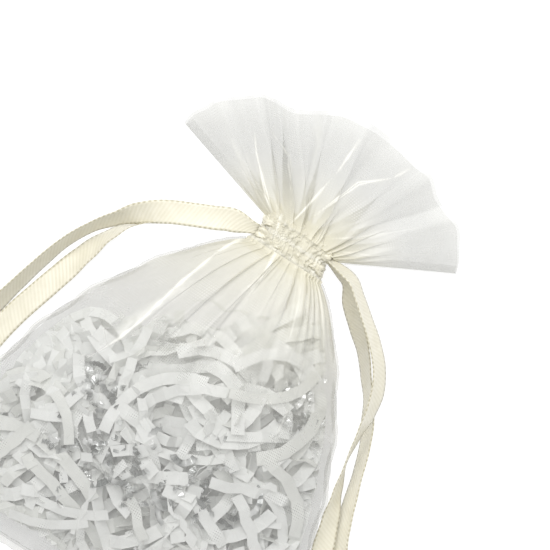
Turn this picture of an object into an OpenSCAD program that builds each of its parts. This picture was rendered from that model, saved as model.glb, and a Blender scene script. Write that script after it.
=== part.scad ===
// Drawstring gift pouch of sheer organza, drawn shut and lying on its back.
// Millimetres. +Z is up, +Y points to the gathered mouth, X runs across the bag.
// The origin is on the resting surface, under the middle of the bag.

/* [Bag] */
// Greatest half width of the filled body
body_half_w = 47.5; // [40:0.5:55]
// Length of the body from the drawstring channel to the bottom seam
body_len = 97.5; // [80:0.5:120]
// Rise of the front panel above the side seams
front_bulge = 15; // [10:0.5:20]
// Drop of the back panel below the side seams, before it rests on the surface
back_bulge = 11.5; // [9:0.5:16]
// Thickness of every fabric panel
cloth_t = 0.8; // [0.6:0.1:1.2]

/* [Neck] */
// Width of the gathered drawstring channel
neck_w = 22; // [18:1:26]
// Height of the channel along the bag
channel_h = 9; // [8.5:0.1:11]
// Outer thickness of one channel
channel_t = 4; // [3.6:0.1:5]
// Y position of the channel's middle
neck_y = 34; // [30:0.5:38]
// Height of the neck's middle over the surface
neck_z = 11; // [10:0.5:13]

/* [Header] */
// Half span of the flared header between its side tips
header_half_w = 39; // [30:1:44]
// Y position of the header's highest point
header_top = 69.5; // [64:0.5:76]
// Height of the pleats at the header's edge
pleat_h = 1.2; // [0:0.1:1.6]

/* [Ribbon] */
// Width of the satin ribbon
ribbon_w = 6; // [5:0.5:7]
// Thickness of the ribbon, with room for its twist
ribbon_t = 1; // [0.8:0.1:1.2]

/* [Hidden] */
$fn = 48;

body_top = neck_y - channel_h / 2 - 0.5;
body_end = body_top - body_len;
half_neck = neck_w / 2;
seam_w = 1.6;
seam_t = 1;
// Half the gap that each panel leaves at the side seams
seam_gap = 0.15;
// How far the side seams stand off the panels' edges
seam_off = 0.35;
// The cloth is pressed flat over this patch, which is all that touches the surface
patch_t = 0.1;
patch_half = [
    [22, -60], [31, -48], [30, -20], [15, 11]
];
// Height of the bottom seam over the surface
bottom_z = 4;
// The channel's walls, and the height of each channel's middle
wall_t = 0.8;
front_z = neck_z + channel_t / 2 + 0.3;
back_z = neck_z - channel_t / 2 - 0.3;
// Ribbon folded lengthwise inside the channel
folded_w = 2.8;
folded_t = 1.2;
run_shift = 1.8;
// How far each ribbon's bight stands out of the far side of the neck
bight_out = 3;
// Header: the line that it folds on lies between these two
header_base = neck_y + channel_h / 2 + 2.5;
header_mid = 45;
header_turn = 80;
header_rise = 8;
header_drop = 4.5;
header_tip_z = 9;
pleats = 6;
// Room between two lumps of the filling, as a share of the body's height there
film_share = 0.22;
paper_low_share = 0.3;
paper_high_share = 0.88;
floor_gap = 1.2;

cream = [0.95, 0.92, 0.82];
ivory = [0.93, 0.93, 0.91];

// Routes of the four strands, each from the neck to its knot
left_front_route = [
    [-13.4, 32.2, 13.3], [-16.4, 31.1, 13.6], [-20, 29.4, 13.6], [-25, 27.2, 13],
    [-31, 24.4, 11.6], [-36.5, 20.8, 9.8], [-41.5, 16, 8], [-46, 10.5, 6.6], [-49.5, 4, 5.6],
    [-52, -3.5, 5], [-54.2, -11.5, 4.7], [-56.2, -19.5, 4.4], [-58, -28, 4], [-59.3, -37, 3.4],
    [-59.6, -46, 3], [-59.2, -55, 2.9], [-58, -63, 3], [-56.8, -69, 3.4]
];
left_back_route = [
    [-13.4, 32.2, 8.7], [-16.4, 30, 8.9], [-20, 27.6, 9], [-25, 25, 8.7], [-31, 21.8, 7.8],
    [-36.3, 17.6, 6.4], [-40.4, 12, 5], [-43.4, 5, 3.9], [-45.8, -2.5, 3.3], [-48.2, -10, 2.9],
    [-50.6, -18, 2.6], [-52.3, -26.5, 2.3], [-53, -35.5, 1.8], [-53.2, -45, 1.4],
    [-53.4, -54, 1.2], [-54, -62.5, 1.2], [-54.8, -69, 1.6]
];
right_front_route = [
    [13.4, 35.8, 13.3], [16.6, 34.4, 15], [20.4, 31.7, 15], [25, 28, 14.2], [30, 23.8, 13],
    [34.4, 19, 11.9], [37.3, 13.4, 11], [38.6, 7.5, 10], [39.2, 1, 8.4], [40.2, -6, 6.8],
    [42.2, -13, 5.6], [44.6, -20, 4.8], [47, -27.5, 4.2], [49.8, -36, 3.7], [52, -45, 3.2],
    [53.2, -54, 3], [54, -62.5, 3.1], [54.8, -69, 3.4]
];
right_back_route = [
    [13.4, 35.8, 8.7], [16.6, 33.8, 6.6], [20, 29.2, 6.4], [25, 24.6, 6], [29.6, 20.2, 5.2],
    [33.4, 15.4, 4.2], [36.8, 11, 3.4], [39.9, 5.8, 3.1], [42.6, 0, 3], [44.8, -7, 2.9],
    [46.8, -14, 2.7], [48.8, -21, 2.4], [52, -29, 2], [55.5, -37, 1.6], [57.8, -46, 1.3],
    [58.2, -55, 1.2], [57.6, -63, 1.2], [56.8, -69, 1.6]
];
// The two cut ends that leave each knot, for the left side
tail_a = [[-55, -75, 2.2], [-54.2, -81, 1.2], [-52.8, -87, 0.6]];
tail_b = [[-56.8, -75, 2.2], [-58.4, -81, 1.2], [-61, -86.4, 0.6]];
knot_pos = [-55.8, -73.4, 3.2];

// Outline and height of the body, u from the channel down to the bottom seam
function share(u) = u / body_len;
function half_w(u) = half_neck + (body_half_w - half_neck) * sin(90 * pow(u / 78, 0.82));
function seam_z(u) = neck_z + (bottom_z - neck_z) * pow(share(u), 2);
function front_h(u) = 3.9 * (1 - share(u)) + 0.3
    + front_bulge * pow(max(0, sin(180 * pow(share(u), 0.9))), 0.8);
function back_h(u) = 3.9 * (1 - share(u)) + 0.3
    + back_bulge * pow(max(0, sin(180 * pow(share(u), 0.75))), 0.6);
function front_skin(u, s) = seam_z(u) + seam_gap + front_h(u) * (1 - pow(abs(s), 2.6));
function back_skin(u, s) = seam_z(u) - seam_gap - back_h(u) * (1 - pow(abs(s), 3));

// Points of one surface of the body, from u0 to u1, pulled in from the side seams
function body_grid(u0, u1, rows, cols, inset, height) = [
    for (i = [0 : rows])
        let (u = u0 + (u1 - u0) * i / rows)
        [for (j = [0 : cols])
            let (x = (half_w(u) - inset) * (2 * j / cols - 1))
            [x, body_top - u, height(u, x / half_w(u))]]
];

// Points of one surface of the header, from the neck out to the edge
function header_grid(rows, cols, height) = [
    for (i = [0 : rows])
        let (t = 1 - i / rows)
        [for (j = [0 : cols])
            let (s = 2 * j / cols - 1)
            let (out_x = header_half_w * sin(header_turn * s) / sin(header_turn))
            let (out_y = header_mid + (header_top - header_mid) * cos(header_turn * s))
            [half_neck * 0.95 * s + (out_x - half_neck * 0.95 * s) * t,
             header_base + (out_y - header_base) * t,
             height(t, s)]]
];
function header_seam_z(t) = neck_z + (header_tip_z - neck_z) * t;
function header_wave(t, s) = pleat_h * t * cos(180 * pleats * s) * (1 - s * s);
function header_front(t, s) = header_seam_z(t) + seam_gap
    + (1.8 * (1 - t) + header_rise * t) * (1 - pow(abs(s), 3)) + header_wave(t, s);
function header_back(t, s) = header_seam_z(t) - seam_gap
    - (1.8 * (1 - t) + header_drop * t) * (1 - pow(abs(s), 3)) + header_wave(t, s) * 0.7;

// A closed slab between two grids of the same size; rows run to -Y, columns to +X
module slab(low, high) {
    rows = len(low);
    cols = len(low[0]);
    count = rows * cols;
    points = concat([for (r = low) each r], [for (r = high) each r]);
    under = [for (i = [0 : rows - 2], j = [0 : cols - 2])
        each [[i * cols + j, (i + 1) * cols + j + 1, i * cols + j + 1],
              [i * cols + j, (i + 1) * cols + j, (i + 1) * cols + j + 1]]];
    over = [for (f = under) [f[2] + count, f[1] + count, f[0] + count]];
    rim = concat(
        [for (j = [0 : cols - 1]) j],
        [for (i = [1 : rows - 1]) i * cols + cols - 1],
        [for (j = [cols - 2 : -1 : 0]) (rows - 1) * cols + j],
        [for (i = [rows - 2 : -1 : 1]) i * cols]
    );
    edge = [for (k = [0 : len(rim) - 1])
        let (a = rim[k], b = rim[(k + 1) % len(rim)])
        each [[a, b, a + count], [b, b + count, a + count]]];
    polyhedron(points, concat(under, over, edge), convexity = 6);
}

// A flat eight-sided strip swept along a route, level across its width
function unit(v) = v / norm(v);
function heading(route, i) =
    unit(route[min(i + 1, len(route) - 1)] - route[max(i - 1, 0)]);
function strip_ring(route, i, width, thick) =
    let (dir = heading(route, i))
    let (side = unit(cross(dir, [0, 0, 1])))
    let (up = cross(side, dir))
    [for (k = [0 : 7])
        route[i] + side * cos(45 * k + 22.5) * width / 1.848 + up * sin(45 * k + 22.5) * thick / 1.848];

// The first rings, narrow of them, are only first_width wide
module strip(route, width, thick, first_width, narrow = 1) {
    rings = len(route);
    points = [for (i = [0 : rings - 1]) each
        strip_ring(route, i, i < narrow ? first_width : width, thick)];
    sides = [for (i = [0 : rings - 2], k = [0 : 7])
        let (a = i * 8 + k, b = i * 8 + (k + 1) % 8)
        each [[a, b, b + 8], [a, b + 8, a + 8]]];
    start_cap = [for (k = [1 : 6]) [0, k + 1, k]];
    end_cap = [for (k = [1 : 6]) (rings - 1) * 8 * [1, 1, 1] + [0, k, k + 1]];
    polyhedron(points, concat(sides, start_cap, end_cap), convexity = 6);
}

module stadium(length, thick) {
    square([length - thick, thick], center = true);
    for (end = [-1, 1])
        translate([end * (length - thick) / 2, 0])
            circle(d = thick);
}

// One gathered channel, a flat tube across the neck
module casing(z) {
    translate([-half_neck, neck_y, z])
        rotate([90, 0, 90])
            linear_extrude(neck_w)
                difference() {
                    stadium(channel_h, channel_t);
                    stadium(channel_h - 2 * wall_t, channel_t - 2 * wall_t);
                }
}

// Two rows of short stitches on the outer face of a channel
module stitch_rows(z) {
    pitch = 2.4;
    for (row = [-1, 1], i = [-4 : 4])
        translate([i * pitch - 0.9, neck_y + row * 2.4, z])
            rotate([0, 90, 0])
                cylinder(d = 0.4, h = 1.8, $fn = 16);
}

// One ribbon's run through both channels and the bight that joins them;
// out is 1 where the bight stands out to +X and -1 where it stands out to -X
module ribbon_loop(out, y) {
    far = half_neck + bight_out;
    near = -half_neck - 1;
    radius = (front_z - back_z) / 2;
    for (z = [front_z, back_z])
        translate([min(out * near, out * far), y - folded_w / 2, z - folded_t / 2])
            cube([far - near, folded_w, folded_t]);
    translate([out * far, y, neck_z])
        rotate([90, out * 90, 0])
            rotate_extrude(angle = 180)
                translate([radius - folded_t / 2, -folded_w / 2])
                    square([folded_t, folded_w]);
}

// A tied knot with its two cut ends
module ribbon_knot() {
    hull() {
        translate(knot_pos + [-1.6, 1, 0])
            sphere(r = 3.1, $fn = 24);
        translate(knot_pos + [1.6, 1, 0])
            sphere(r = 3.1, $fn = 24);
        translate(knot_pos + [0, -1.4, -0.2])
            sphere(r = 2.9, $fn = 24);
    }
    strip(tail_a, ribbon_w * 0.8, ribbon_t * 0.9, ribbon_w * 0.5);
    strip(tail_b, ribbon_w * 0.8, ribbon_t * 0.9, ribbon_w * 0.5);
}

module side_seam(side) {
    steps = 44;
    first = 1.5;
    off = seam_w / 2 + seam_off;
    route = [for (i = [0 : steps])
        let (u = first + (body_len - first) * i / steps)
        let (away = unit([1, half_w(u + 0.5) - half_w(u - 0.5)]))
        [side * (half_w(u) + off * away[0]), body_top - u + off * away[1], seam_z(u)]];
    strip(route, seam_w, seam_t, seam_w);
}

module header_seam(side) {
    tip_y = header_mid + (header_top - header_mid) * cos(header_turn);
    away = unit([tip_y - header_base, half_neck - header_half_w, 0]) * (seam_w / 2 + 0.25);
    route = [
        [side * (half_neck * 0.95 + away[0]), header_base + away[1], neck_z],
        [side * (header_half_w + away[0]), tip_y + away[1], header_tip_z]
    ];
    strip(route, seam_w, seam_t, seam_w);
}

// Everything above the surface, with the pressed patch reaching down to it
module above_surface() {
    translate([-100, -100, patch_t])
        cube([200, 200, 60]);
    linear_extrude(1)
        polygon(concat(patch_half, [for (k = [3 : -1 : 0]) [-patch_half[k][0], patch_half[k][1]]]));
}

module back_panel() {
    color(ivory)
        intersection() {
            slab(
                body_grid(0, body_len - seam_w, 22, 20, 0, function (u, s) back_skin(u, s) - cloth_t),
                body_grid(0, body_len - seam_w, 22, 20, 0,
                    function (u, s) max(back_skin(u, s), cloth_t))
            );
            above_surface();
        }
}

module front_panel() {
    color(ivory)
        slab(
            body_grid(0, body_len - seam_w, 22, 20, 0, function (u, s) front_skin(u, s)),
            body_grid(0, body_len - seam_w, 22, 20, 0, function (u, s) front_skin(u, s) + cloth_t)
        );
}

module left_side_seam() {
    color(ivory) side_seam(-1);
}

module right_side_seam() {
    color(ivory) side_seam(1);
}

module bottom_seam() {
    color(ivory)
        translate([-half_w(body_len) + 1, body_end, bottom_z - seam_t / 2])
            cube([2 * half_w(body_len) - 2, seam_w - 0.3, seam_t]);
}

module front_casing() {
    color(ivory) casing(front_z);
}

module back_casing() {
    color(ivory) casing(back_z);
}

module front_casing_stitches() {
    color("white") stitch_rows(front_z + channel_t / 2 + 0.25);
}

module back_casing_stitches() {
    color("white") stitch_rows(back_z - channel_t / 2 - 0.25);
}

module front_header() {
    color(ivory)
        slab(
            header_grid(8, 36, function (t, s) header_front(t, s)),
            header_grid(8, 36, function (t, s) header_front(t, s) + cloth_t)
        );
}

module back_header() {
    color(ivory)
        slab(
            header_grid(8, 36, function (t, s) header_back(t, s) - cloth_t),
            header_grid(8, 36, function (t, s) header_back(t, s))
        );
}

module left_header_seam() {
    color(ivory) header_seam(-1);
}

module right_header_seam() {
    color(ivory) header_seam(1);
}

// The filling is loose shred, held here as three layers between the panels
module front_paper_shred() {
    color("white")
        slab(
            body_grid(20, 90, 14, 12, 5,
                function (u, s) seam_z(u) + seam_gap
                    + paper_low_share * (front_skin(u, s) - seam_z(u) - seam_gap)),
            body_grid(20, 90, 14, 12, 5,
                function (u, s) seam_z(u) + seam_gap
                    + paper_high_share * (front_skin(u, s) - seam_z(u) - seam_gap))
        );
}

module back_paper_shred() {
    color("white")
        slab(
            body_grid(20, 90, 14, 12, 5,
                function (u, s) max(floor_gap, seam_z(u) - seam_gap
                    - paper_high_share * (seam_z(u) - seam_gap - back_skin(u, s)))),
            body_grid(20, 90, 14, 12, 5,
                function (u, s) seam_z(u) - seam_gap
                    - paper_low_share * (seam_z(u) - seam_gap - back_skin(u, s)))
        );
}

module film_shred() {
    color("silver")
        slab(
            body_grid(28, 86, 12, 12, 6,
                function (u, s) seam_z(u) - seam_gap
                    - film_share * (seam_z(u) - seam_gap - back_skin(u, s))),
            body_grid(28, 86, 12, 12, 6,
                function (u, s) seam_z(u) + seam_gap
                    + film_share * (front_skin(u, s) - seam_z(u) - seam_gap))
        );
}

module left_ribbon_loop() {
    color(cream) ribbon_loop(1, neck_y - run_shift);
}

module left_ribbon_front_strand() {
    color(cream) strip(left_front_route, ribbon_w, ribbon_t, folded_w, 2);
}

module left_ribbon_back_strand() {
    color(cream) strip(left_back_route, ribbon_w, ribbon_t, folded_w, 2);
}

module left_ribbon_knot() {
    color(cream) ribbon_knot();
}

module right_ribbon_loop() {
    color(cream) ribbon_loop(-1, neck_y + run_shift);
}

module right_ribbon_front_strand() {
    color(cream) strip(right_front_route, ribbon_w, ribbon_t, folded_w, 2);
}

module right_ribbon_back_strand() {
    color(cream) strip(right_back_route, ribbon_w, ribbon_t, folded_w, 2);
}

module right_ribbon_knot() {
    color(cream) mirror([1, 0, 0]) ribbon_knot();
}

back_panel();
front_panel();
left_side_seam();
right_side_seam();
bottom_seam();
front_casing();
back_casing();
front_casing_stitches();
back_casing_stitches();
front_header();
back_header();
left_header_seam();
right_header_seam();
front_paper_shred();
back_paper_shred();
film_shred();
left_ribbon_loop();
left_ribbon_front_strand();
left_ribbon_back_strand();
left_ribbon_knot();
right_ribbon_loop();
right_ribbon_front_strand();
right_ribbon_back_strand();
right_ribbon_knot();
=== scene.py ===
import math
import random

import bpy
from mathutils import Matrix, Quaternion, Vector, noise


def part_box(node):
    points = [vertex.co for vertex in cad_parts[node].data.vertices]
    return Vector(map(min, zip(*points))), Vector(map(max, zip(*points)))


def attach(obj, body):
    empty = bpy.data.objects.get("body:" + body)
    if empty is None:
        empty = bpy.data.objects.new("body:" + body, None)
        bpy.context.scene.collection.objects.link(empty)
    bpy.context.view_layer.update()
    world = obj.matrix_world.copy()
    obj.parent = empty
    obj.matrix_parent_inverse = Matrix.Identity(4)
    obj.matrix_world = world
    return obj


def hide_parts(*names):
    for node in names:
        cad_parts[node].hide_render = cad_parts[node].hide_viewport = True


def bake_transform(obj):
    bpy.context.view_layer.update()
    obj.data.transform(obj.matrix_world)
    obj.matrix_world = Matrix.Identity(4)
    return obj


# Sheer organza gift pouch with satin ribbon pulls and a crinkle paper filling.
# Lengths in the dictionaries are millimetres; mm() turns them to metres.

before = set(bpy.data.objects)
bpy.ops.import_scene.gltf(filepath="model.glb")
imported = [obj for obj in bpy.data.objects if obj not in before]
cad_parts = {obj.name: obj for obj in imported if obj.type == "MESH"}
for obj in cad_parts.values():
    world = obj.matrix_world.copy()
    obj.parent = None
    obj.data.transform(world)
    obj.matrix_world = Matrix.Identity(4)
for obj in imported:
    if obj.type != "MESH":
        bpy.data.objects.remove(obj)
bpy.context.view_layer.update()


def mm(value):
    return value * 0.001


def clamp(value, low=0.0, high=1.0):
    return max(low, min(high, value))


def ease(low, high, value):
    t = clamp((value - low) / (high - low))
    return t * t * (3 - 2 * t)


def boxMm(node):
    low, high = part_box(node)
    return [v * 1000 for v in low], [v * 1000 for v in high]


def linear(hexColor):
    # sRGB hex to the linear colour that shaders want
    parts = [int(hexColor[i:i + 2], 16) / 255 for i in (1, 3, 5)]
    return [p / 12.92 if p <= 0.04045 else ((p + 0.055) / 1.055) ** 2.4 for p in parts] + [1.0]


# Places taken from the frame, in millimetres
panelLow, panelHigh = boxMm("front_panel")
channelLow, channelHigh = boxMm("front_casing")
backChannelLow, backChannelHigh = boxMm("back_casing")
seamLow, seamHigh = boxMm("bottom_seam")

neckY = (channelLow[1] + channelHigh[1]) / 2
neckZ = (channelLow[2] + backChannelHigh[2]) / 2
halfNeck = channelHigh[0]
bodyTop = channelLow[1] - 0.5
bodyEnd = seamLow[1]
bodyLength = bodyTop - bodyEnd
halfBody = panelHigh[0]
bottomZ = (seamLow[2] + seamHigh[2]) / 2


# The camera looks straight down; field is the width that it sees at its level
camera = {"turn": 32, "centre": (0, 25.2), "level": 10, "distance": 550, "field": 137.5}


def makeCamera():
    data = bpy.data.cameras.new("camera")
    data.sensor_width = 36
    data.lens = 36 * camera["distance"] / camera["field"]
    data.clip_start = 0.01
    eye = bpy.data.objects.new("camera", data)
    bpy.context.scene.collection.objects.link(eye)
    x, y = camera["centre"]
    eye.location = (mm(x), mm(y), mm(camera["level"] + camera["distance"]))
    eye.rotation_euler = (0, 0, math.radians(camera["turn"]))
    bpy.context.scene.camera = eye


makeCamera()
print("camera placed")


def newPiece(name, points, faces, material, uvs=None, smooth=True):
    # points in millimetres; uvs holds one (u, v) in millimetres for each point
    mesh = bpy.data.meshes.new(name)
    mesh.from_pydata([[mm(c) for c in p] for p in points], [], faces)
    if uvs:
        layer = mesh.uv_layers.new(name="cloth")
        for loop in mesh.loops:
            layer.data[loop.index].uv = uvs[loop.vertex_index]
    mesh.polygons.foreach_set("use_smooth", [smooth] * len(mesh.polygons))
    mesh.materials.append(material)
    mesh.update()
    piece = bpy.data.objects.new(name, mesh)
    bpy.context.scene.collection.objects.link(piece)
    return piece


def setAttribute(piece, name, values):
    layer = piece.data.attributes.new(name, "FLOAT", "POINT")
    layer.data.foreach_set("value", values)


def gridFaces(rows, cols):
    return [(i * cols + j, i * cols + j + 1, (i + 1) * cols + j + 1, (i + 1) * cols + j)
            for i in range(rows - 1) for j in range(cols - 1)]


def pick(piece):
    bpy.ops.object.select_all(action="DESELECT")
    piece.select_set(True)
    bpy.context.view_layer.objects.active = piece


def applyModifier(piece, kind, **settings):
    modifier = piece.modifiers.new(kind.lower(), kind)
    for key, value in settings.items():
        setattr(modifier, key, value)
    pick(piece)
    bpy.ops.object.modifier_apply(modifier=modifier.name)


def curvePoints(route, step):
    # Catmull-Rom through the route, then evened out to one point each step millimetres
    ends = [route[0]] + list(route) + [route[-1]]
    fine = []
    for k in range(1, len(ends) - 2):
        a, b, c, d = (Vector(ends[k + m]) for m in (-1, 0, 1, 2))
        for n in range(16):
            t = n / 16
            fine.append((k - 1 + t, 0.5 * (2 * b + (c - a) * t + (2 * a - 5 * b + 4 * c - d) * t * t
                                          + (3 * b - a - 3 * c + d) * t ** 3)))
    fine.append((len(route) - 1, Vector(route[-1])))
    total = sum((fine[k + 1][1] - fine[k][1]).length for k in range(len(fine) - 1))
    count = max(2, round(total / step))
    result, walked, k = [], 0.0, 0
    for n in range(count + 1):
        goal = total * n / count
        while k < len(fine) - 2 and walked + (fine[k + 1][1] - fine[k][1]).length < goal:
            walked += (fine[k + 1][1] - fine[k][1]).length
            k += 1
        length = (fine[k + 1][1] - fine[k][1]).length
        t = clamp((goal - walked) / length if length else 0)
        place = fine[k][0] + (fine[k + 1][0] - fine[k][0]) * t
        result.append((place, fine[k][1].lerp(fine[k + 1][1], t)))
    return result, total


def between(values, place):
    k = min(int(place), len(values) - 2)
    t = ease(0, 1, place - k)
    return values[k] * (1 - t) + values[k + 1] * t


def newMaterial(name):
    material = bpy.data.materials.new(name)
    material.use_nodes = True
    tree = material.node_tree
    return material, tree, tree.nodes["Principled BSDF"]


def addNode(tree, kind, settings=None, inputs=None):
    # inputs: a value sets the socket, a socket is linked to it
    made = tree.nodes.new(kind)
    for key, value in (settings or {}).items():
        setattr(made, key, value)
    for key, value in (inputs or {}).items():
        if isinstance(value, bpy.types.NodeSocket):
            tree.links.new(value, made.inputs[key])
        else:
            made.inputs[key].default_value = value
    return made


def threads(tree, axis, pitch, uv):
    # one set of parallel threads across a cloth, 0 in the gap and 1 on the thread
    split = addNode(tree, "ShaderNodeSeparateXYZ", inputs={0: uv})
    turns = addNode(tree, "ShaderNodeMath", {"operation": "MULTIPLY"},
                    {0: split.outputs[axis], 1: 2 * math.pi / pitch})
    wave = addNode(tree, "ShaderNodeMath", {"operation": "SINE"}, {0: turns.outputs[0]})
    return addNode(tree, "ShaderNodeMath", {"operation": "MULTIPLY_ADD"},
                   {0: wave.outputs[0], 1: 0.5, 2: 0.5}).outputs[0]


def organza(name, color, cover, coverGather, weaveShow):
    # Nylon organza: a sheer plain weave of fine glossy yarn, so the eye sees a pale grey veil, denser
    # along its creases, which carry a painted highlight. Real threads lie 0.25 mm apart; drawn at 0.6 mm.
    material, tree, shader = newMaterial(name)
    uv = addNode(tree, "ShaderNodeUVMap", {"uv_map": "cloth"}).outputs[0]
    warp = threads(tree, 0, 0.6, uv)
    weft = threads(tree, 1, 0.64, uv)
    weave = addNode(tree, "ShaderNodeMath", {"operation": "MULTIPLY"}, {0: warp, 1: weft}).outputs[0]
    gather = addNode(tree, "ShaderNodeAttribute", {"attribute_name": "gather"}).outputs["Fac"]
    creaseAndHighlight = addNode(tree, "ShaderNodeAttribute", {"attribute_name": "creaseAndHighlight"}).outputs["Fac"]
    # painted sheen: the weave shows only in noise patches, denser there and mixed toward white as if it
    # caught the light
    patch = addNode(tree, "ShaderNodeTexNoise", inputs={"Vector": uv, "Scale": 0.11, "Detail": 2.0})
    patchy = addNode(tree, "ShaderNodeMapRange",
                     inputs={0: patch.outputs[0], 1: 0.5, 2: 0.68, 3: 0.0, 4: weaveShow})
    shown = addNode(tree, "ShaderNodeMath", {"operation": "MULTIPLY"},
                    {0: weave, 1: patchy.outputs[0]})
    slub = addNode(tree, "ShaderNodeTexNoise", inputs={"Vector": uv, "Scale": 0.3, "Detail": 4.0})
    cloudy = addNode(tree, "ShaderNodeMath", {"operation": "MULTIPLY_ADD"},
                     {0: slub.outputs[0], 1: 0.12, 2: cover - 0.06})
    low = addNode(tree, "ShaderNodeMath", {"operation": "ADD"},
                  {0: cloudy.outputs[0], 1: shown.outputs[0]})
    mid = addNode(tree, "ShaderNodeMath", {"operation": "MULTIPLY_ADD"},
                  {0: gather, 1: coverGather, 2: low.outputs[0]})
    full = addNode(tree, "ShaderNodeMath", {"operation": "MULTIPLY_ADD", "use_clamp": True},
                   {0: creaseAndHighlight, 1: 0.6, 2: mid.outputs[0]})
    tree.links.new(full.outputs[0], shader.inputs["Alpha"])
    # the gathered cloth is tinted a lighter cream: partly the cream ribbons inside it, partly painted light
    # against the shade in the gathers
    gatherLiftTint = addNode(tree, "ShaderNodeMix", {"data_type": "RGBA"},
                   {0: gather, 6: linear(color), 7: linear("#E7E3D0")})
    # painted highlight: the shown weave patches and the creases mix the colour toward near white
    bright = addNode(tree, "ShaderNodeMath", {"operation": "MULTIPLY_ADD", "use_clamp": True},
                     {0: shown.outputs[0], 1: 2.5, 2: creaseAndHighlight})
    white = addNode(tree, "ShaderNodeMix", {"data_type": "RGBA"},
                    {0: bright.outputs[0], 6: gatherLiftTint.outputs[2], 7: linear("#F0EFE8")})
    tree.links.new(white.outputs[2], shader.inputs["Base Color"])
    bump = addNode(tree, "ShaderNodeBump", inputs={"Height": weave, "Strength": 0.1, "Distance": 0.0001})
    tree.links.new(bump.outputs[0], shader.inputs["Normal"])
    shader.inputs["Roughness"].default_value = 0.34
    shader.inputs["Sheen Weight"].default_value = 0.1
    shader.inputs["Sheen Roughness"].default_value = 0.4
    return material


def satin():
    # Single-face satin ribbon: long floating yarns give a bright soft gloss along the band, with
    # fine slanting ribs. Real ribs are 0.4 mm apart; drawn at 0.95 mm so that they show.
    material, tree, shader = newMaterial("satinRibbon")
    uv = addNode(tree, "ShaderNodeUVMap", {"uv_map": "cloth"}).outputs[0]
    slant = addNode(tree, "ShaderNodeMapping", {"vector_type": "POINT"},
                    {"Vector": uv, "Rotation": (0, 0, math.radians(35))}).outputs[0]
    ribs = threads(tree, 1, 0.95, slant)
    slub = addNode(tree, "ShaderNodeTexNoise", inputs={"Vector": uv, "Scale": 0.35, "Detail": 2.0})
    # painted shade: the grooves between the ribs are drawn darker in the colour, besides the bump; the slub
    # noise varies the tone
    shade = addNode(tree, "ShaderNodeMath", {"operation": "MULTIPLY_ADD"},
                    {0: ribs, 1: 0.24, 2: 0.08})
    mixed = addNode(tree, "ShaderNodeMath", {"operation": "MULTIPLY_ADD", "use_clamp": True},
                    {0: slub.outputs[0], 1: 0.6, 2: shade.outputs[0]})
    color = addNode(tree, "ShaderNodeMix", {"data_type": "RGBA"},
                    {0: mixed.outputs[0], 6: linear("#C9C4AE"), 7: linear("#E1DDCE")})
    # the woven edge: a row of short dark marks between its loops, 1.3 mm apart, painted shade in the gaps
    split = addNode(tree, "ShaderNodeSeparateXYZ", inputs={0: uv})
    far = addNode(tree, "ShaderNodeMath", {"operation": "ABSOLUTE"}, {0: split.outputs[0]})
    rim = addNode(tree, "ShaderNodeMapRange", inputs={0: far.outputs[0], 1: 2.45, 2: 2.7, 3: 0.0, 4: 0.75})
    gaps = addNode(tree, "ShaderNodeMath", {"operation": "MULTIPLY"},
                   {0: rim.outputs[0], 1: threads(tree, 1, 1.3, uv)})
    edged = addNode(tree, "ShaderNodeMix", {"data_type": "RGBA"},
                    {0: gaps.outputs[0], 6: color.outputs[2], 7: linear("#A39C7E")})
    tree.links.new(edged.outputs[2], shader.inputs["Base Color"])
    bump = addNode(tree, "ShaderNodeBump", inputs={"Height": ribs, "Strength": 0.2, "Distance": 0.0002})
    tree.links.new(bump.outputs[0], shader.inputs["Normal"])
    shader.inputs["Roughness"].default_value = 0.36
    shader.inputs["Anisotropic"].default_value = 0.5
    shader.inputs["Sheen Weight"].default_value = 0.3
    return material


def crinklePaper(name, color, shade):
    # Bleached sulphite paper, cut and crimped: matte, with faint mottling from its fibres.
    material, tree, shader = newMaterial(name)
    place = addNode(tree, "ShaderNodeTexCoord").outputs["Object"]
    fibre = addNode(tree, "ShaderNodeTexNoise", inputs={"Vector": place, "Scale": 900.0, "Detail": 4.0})
    cloud = addNode(tree, "ShaderNodeTexNoise", inputs={"Vector": place, "Scale": 120.0, "Detail": 2.0})
    mixed = addNode(tree, "ShaderNodeMath", {"operation": "MULTIPLY", "use_clamp": True},
                    {0: fibre.outputs[0], 1: cloud.outputs[0]})
    color = addNode(tree, "ShaderNodeMix", {"data_type": "RGBA"},
                    {0: mixed.outputs[0], 6: linear(color), 7: linear(shade)})
    tree.links.new(color.outputs[2], shader.inputs["Base Color"])
    bump = addNode(tree, "ShaderNodeBump",
                   inputs={"Height": fibre.outputs[0], "Strength": 0.2, "Distance": 0.0001})
    tree.links.new(bump.outputs[0], shader.inputs["Normal"])
    shader.inputs["Roughness"].default_value = 0.75
    return material


def silverFilm():
    # Metallised PET film, slit fine and crimped: its mirror-bright and grey facets are a painted reflection,
    # noise patches in the colour.
    material, tree, shader = newMaterial("silverFilm")
    place = addNode(tree, "ShaderNodeTexCoord").outputs["Object"]
    glintNoise = addNode(tree, "ShaderNodeTexNoise", inputs={"Vector": place, "Scale": 260.0, "Detail": 1.0})
    facets = addNode(tree, "ShaderNodeMapRange",
                     inputs={0: glintNoise.outputs[0], 1: 0.4, 2: 0.6, 3: 0.0, 4: 1.0})
    color = addNode(tree, "ShaderNodeMix", {"data_type": "RGBA"},
                    {0: facets.outputs[0], 6: linear("#8A8D8C"), 7: linear("#F8F9F8")})
    tree.links.new(color.outputs[2], shader.inputs["Base Color"])
    rough = addNode(tree, "ShaderNodeMath", {"operation": "MULTIPLY_ADD"},
                    {0: glintNoise.outputs[0], 1: 0.25, 2: 0.18})
    tree.links.new(rough.outputs[0], shader.inputs["Roughness"])
    shader.inputs["Metallic"].default_value = 0.85
    return material


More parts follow.
